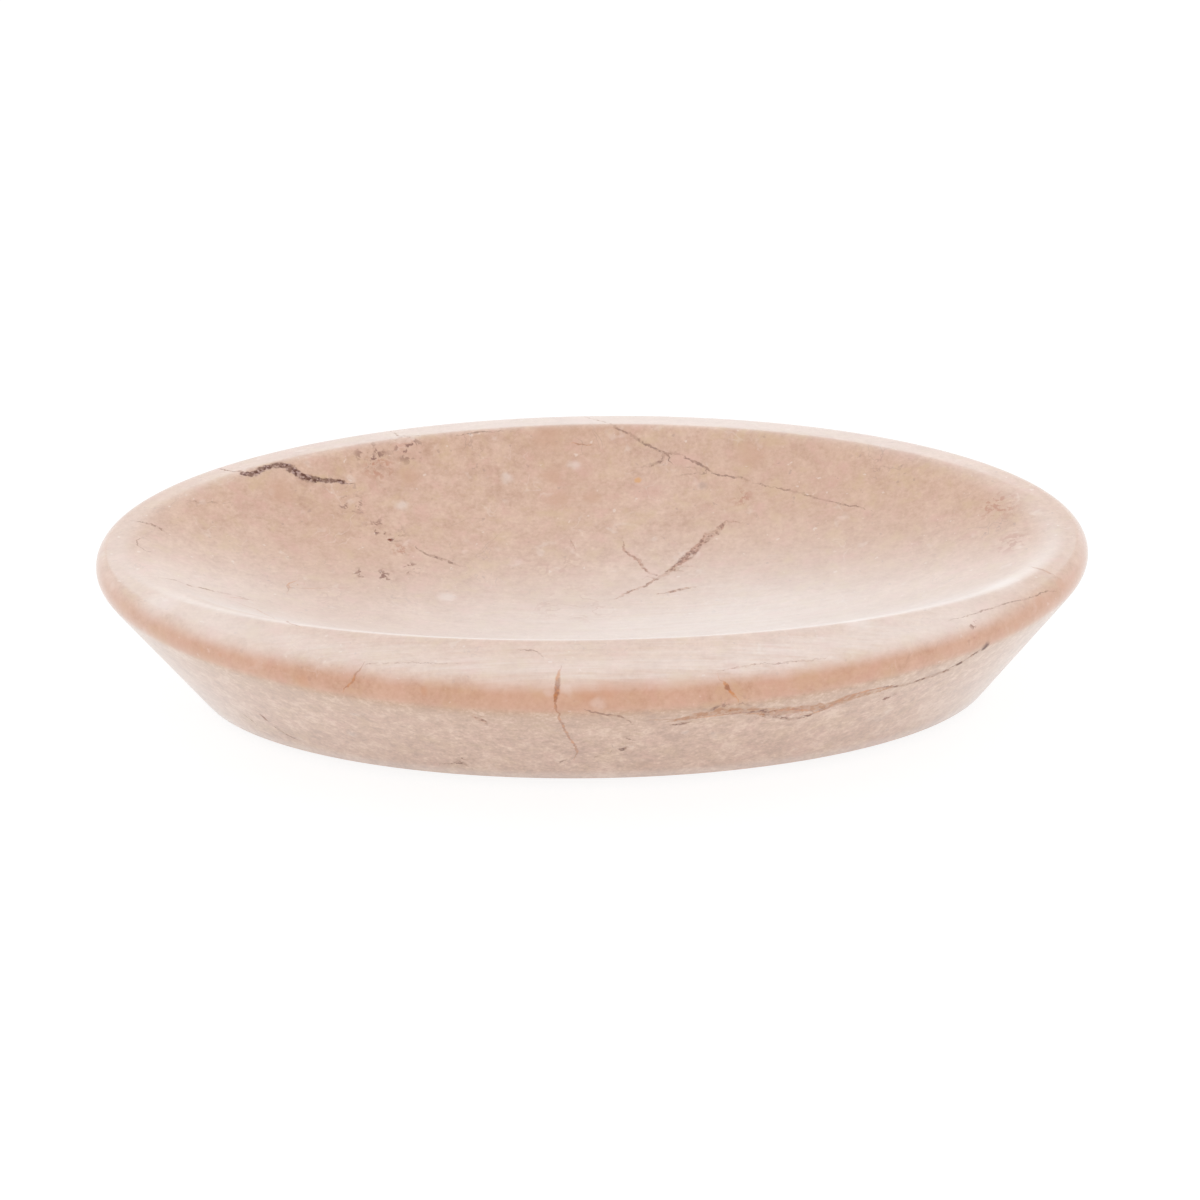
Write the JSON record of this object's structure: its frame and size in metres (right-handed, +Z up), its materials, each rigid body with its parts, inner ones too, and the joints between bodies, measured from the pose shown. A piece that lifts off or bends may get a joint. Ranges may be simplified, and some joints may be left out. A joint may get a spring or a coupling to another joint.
{
  "type": "soap dish",
  "caption": "Oval polished stone soap dish with a leaning wall, a broad lip and a shallow ground-out bowl, on low bumper pads.",
  "frame": {"origin": "on the table, under the middle of the dish, level with the undersides of the bumper pads", "axes": "+X along the dish to the right as the picture shows it, +Y away from the viewer, +Z up"},
  "size_m": [0.14, 0.09, 0.0252],
  "materials": {
    "marble": "polished pink-beige marble with rust and grey veins",
    "bumper_pad": "clear cast polyurethane, smooth",
    "adhesive_film": "clear acrylic adhesive film"
  },
  "bodies": {
    "root": {"dish_body": "marble", "foot_pad_front_left": "bumper_pad", "foot_pad_front_right": "bumper_pad", "foot_pad_back_left": "bumper_pad", "foot_pad_back_right": "bumper_pad", "foot_adhesive_front_left": "adhesive_film", "foot_adhesive_front_right": "adhesive_film", "foot_adhesive_back_left": "adhesive_film", "foot_adhesive_back_right": "adhesive_film"}
  },
  "joints": []
}
